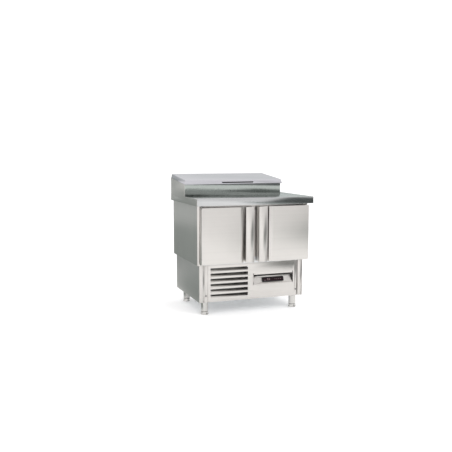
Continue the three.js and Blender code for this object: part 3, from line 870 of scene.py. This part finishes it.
def serpentine(low, high, y, rows, bend_out):
    """Straight runs along X at even heights, joined by half circles outside the fins."""
    heights = low[Z] + (np.arange(rows) + 0.5) * (high[Z] - low[Z]) / rows
    radius = (heights[1] - heights[0]) / 2
    turn = np.linspace(-np.pi / 2, np.pi / 2, 9)
    path = []
    for row, z in enumerate(heights):
        ends = (low[X], high[X]) if row % 2 == 0 else (high[X], low[X])
        path.append(np.array([(ends[0], y, z), (sum(ends) / 2, y, z), (ends[1], y, z)]))
        if row < rows - 1:
            way = 1 if row % 2 == 0 else -1
            arc_x = ends[1] + way * bend_out * np.cos(turn)
            arc_z = z + radius + radius * np.sin(turn)
            arc = np.stack([arc_x, np.full(9, y), arc_z], -1)
            path.append(arc[1:-1])
    return np.concatenate(path)


def fin_pack(low, high, pitch, thick):
    """Even thin plates from low to high along X, each a closed slab with its own edges."""
    outline = rounded_rectangle((high[Y] - low[Y]) / 2, (high[Z] - low[Z]) / 2, 1 * MM, steps=1)
    centre = (low + high) / 2 * (0, 1, 1)
    places = np.arange(low[X], high[X] - thick, pitch)
    return together(*(slab(outline, X, x, x + thick) for x in places)), centre


for place, rows in (("condenser", 8), ("evaporator", 5)):
    low, high = corners(f"{place}_coil")
    (points, faces), centre = fin_pack(low, high, 3.6 * MM, 0.5 * MM)
    width = high[Y] - low[Y]
    runs = []
    for part in (0.28, 0.72):
        runs.append(wire(serpentine(low, high, low[Y] + part * width, rows, 9 * MM), 4.2 * MM, 10))
    fins = (points + centre, faces)
    piece(f"{place}_coil_fins", "cabinet", "coil_fins", fins, stands_for=[f"{place}_coil"])
    piece(f"{place}_coil_tube", "cabinet", "coil_fins", together(*runs), finish=SLOT_FINISH["plain_steel"])

# %% [markdown]
# ## Compressor
#
# A hermetic compressor is two deep-drawn pots welded together with a seam round the middle, on a
# mounting plate with rubber grommets. The pots are turned; the terminal cover and the pipes tell
# which way it faces.

# %% Compressor
low, high = corners("compressor")
centre = (low + high) / 2 * (1, 1, 0)
floor = low[Z]
POT = np.array([(0, 10), (60, 10), (72, 16), (77, 28), (78, 44), (78, 84), (80.5, 86), (80.5, 91),
                (78, 93), (78, 112), (75, 130), (67, 147), (52, 161), (30, 170), (0, 173)]) * MM
GROMMET = np.array([(0, 0.3), (11, 0.3), (13, 2), (13, 4.5), (9, 6), (9, 10), (13, 12), (13, 15),
                    (10, 17), (5, 17), (5, 19), (0, 19)]) * MM
pot = turned(POT, centre + (0, 0, floor), sides=64)
plate_outline = rounded_rectangle((high[X] - low[X]) / 2, 75 * MM, 14 * MM)
plate, plate_faces = slab(plate_outline, Z, floor + 4 * MM, floor + 12 * MM)
cover_outline = rounded_rectangle(27 * MM, 22 * MM, 6 * MM) + (centre[X], floor + 84 * MM)
cover = slab(cover_outline, Y, centre[Y] - 92 * MM, centre[Y] - 60 * MM)
piece("compressor_pot", "cabinet", "black_paint", together(pot, (plate + centre, plate_faces), cover),
      stands_for=["compressor"], fold=1.2 * MM)
grommets = []
for x in (-80 * MM, 80 * MM):
    for y in (-60 * MM, 60 * MM):
        grommets.append(turned(GROMMET, centre + (x, y, floor), sides=20))
piece("compressor_grommets", "cabinet", "gasket_rubber", together(*grommets),
      finish=SLOT_FINISH["black_plastic"])

# %% [markdown]
# ## Pipes
#
# Two pipes leave the pot: the thin bare one takes hot gas to the condenser, and the thick one is
# the cold return in its foam sleeve. Each is a route of straight runs with its corners drawn round.

# %% Pipes


def bent_path(points, radius=18 * MM):
    """A pipe's route: straight runs whose corners are drawn round, as in a bending tool."""
    p = np.asarray(points, float)
    inner, before, after = p[1:-1], p[:-2] - p[1:-1], p[2:] - p[1:-1]
    a = inner + radius * before / np.linalg.norm(before, axis=1, keepdims=True)
    c = inner + radius * after / np.linalg.norm(after, axis=1, keepdims=True)
    t = np.linspace(0, 1, 7)[:, None]
    curve = (1 - t) ** 2 * a[:, None] + 2 * t * (1 - t) * inner[:, None] + t ** 2 * c[:, None]
    return np.concatenate([p[:1], curve.reshape(-1, 3), p[-1:]])


cx, cy = centre[X], centre[Y]
coil_low, coil_high = corners("condenser_coil")
pipe_y = coil_low[Y] + 0.28 * (coil_high[Y] - coil_low[Y])
discharge_route = [
    (cx - 60 * MM, cy - 30 * MM, floor + 120 * MM),
    (cx - 92 * MM, cy - 30 * MM, floor + 120 * MM),
    (cx - 92 * MM, cy - 30 * MM, floor + 225 * MM),
    (cx - 92 * MM, pipe_y, floor + 225 * MM),
    (coil_high[X] - 6 * MM, pipe_y, floor + 225 * MM),
]
suction_route = [
    (cx + 60 * MM, cy + 30 * MM, floor + 70 * MM),
    (cx + 108 * MM, cy + 30 * MM, floor + 70 * MM),
    (cx + 108 * MM, cy + 30 * MM, floor + 268 * MM),
]
discharge = bent_path(discharge_route, 16 * MM)
suction = bent_path(suction_route, 22 * MM)
piece("discharge_pipe", "cabinet", "plain_steel", wire(discharge, 3.2 * MM, 12))
piece("suction_pipe_foam", "cabinet", "black_plastic", wire(suction, 9 * MM, 16))

# %% [markdown]
# ## Cable gland
#
# The supply cord enters through a gland in the rear sheet: a nut with grip ribs and a short neck. The
# ribs are a swing in the radius, radius = r + rib * cos(18 * angle).

# %% Cable gland
low, high = corners("power_inlet")
centre = (low + high) / 2 * (1, 0, 1)
angle = np.arange(144) * 2 * np.pi / 144
# Each ring: radius, rib swing and distance forward from the rear, in mm.
levels = [(4.5, 0, 28.0), (8.0, 0, 31.5), (12.5, 0, 34.0), (14.2, 0.0, 33.0), (14.6, 0.5, 30.0),
          (14.6, 0.5, 6.0), (13.6, 0, 3.2), (12.0, 0, 2.4), (12.0, 0, 0.6), (11.2, 0, 0.0),
          (5.6, 0, 0.0), (4.5, 0, 1.0)]
rings = []
for radius, rib, back in levels:
    reach = (radius + rib * np.cos(18 * angle)) * MM
    flat = np.stack([reach * np.cos(angle), reach * np.sin(angle)], -1)
    rings.append(upright(flat, Y, high[Y] - back * MM) + centre)
piece("cable_gland", "cabinet", "black_plastic", loft(rings, closed=True), stands_for=["power_inlet"])
